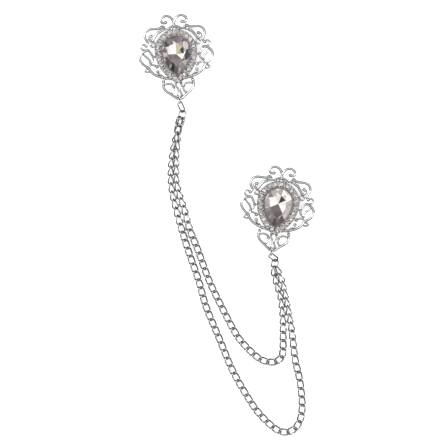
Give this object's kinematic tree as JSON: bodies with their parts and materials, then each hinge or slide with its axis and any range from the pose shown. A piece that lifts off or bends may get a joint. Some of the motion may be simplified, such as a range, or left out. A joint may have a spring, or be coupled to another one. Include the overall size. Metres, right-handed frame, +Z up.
{
  "type": "lapel chain",
  "caption": "Two pear-shaped openwork scroll brooches, each with a stone in a stone-set halo, joined foot to foot by two hanging curb chains of unequal length.",
  "frame": {"origin": "middle of the piece as it lies, on the surface under it", "axes": "+Z up off the surface, +Y from the second brooch's side towards the first brooch, +X to the right seen from above"},
  "size_m": [0.0651, 0.156, 0.0076],
  "materials": {
    "plated_metal": "polished silver-coloured plating",
    "large_stone": "faceted, clear",
    "small_stones": "faceted, faintly pink"
  },
  "bodies": {
    "root": {"first_frame": "plated_metal", "first_stone": "large_stone", "first_halo_stones": "small_stones", "first_back_pin": "plated_metal", "first_oval_link": "plated_metal", "first_jump_ring": "plated_metal", "second_frame": "plated_metal", "second_stone": "large_stone", "second_halo_stones": "small_stones", "second_back_pin": "plated_metal", "second_oval_link": "plated_metal", "second_jump_ring": "plated_metal", "long_chain": "plated_metal", "short_chain": "plated_metal"}
  },
  "joints": []
}
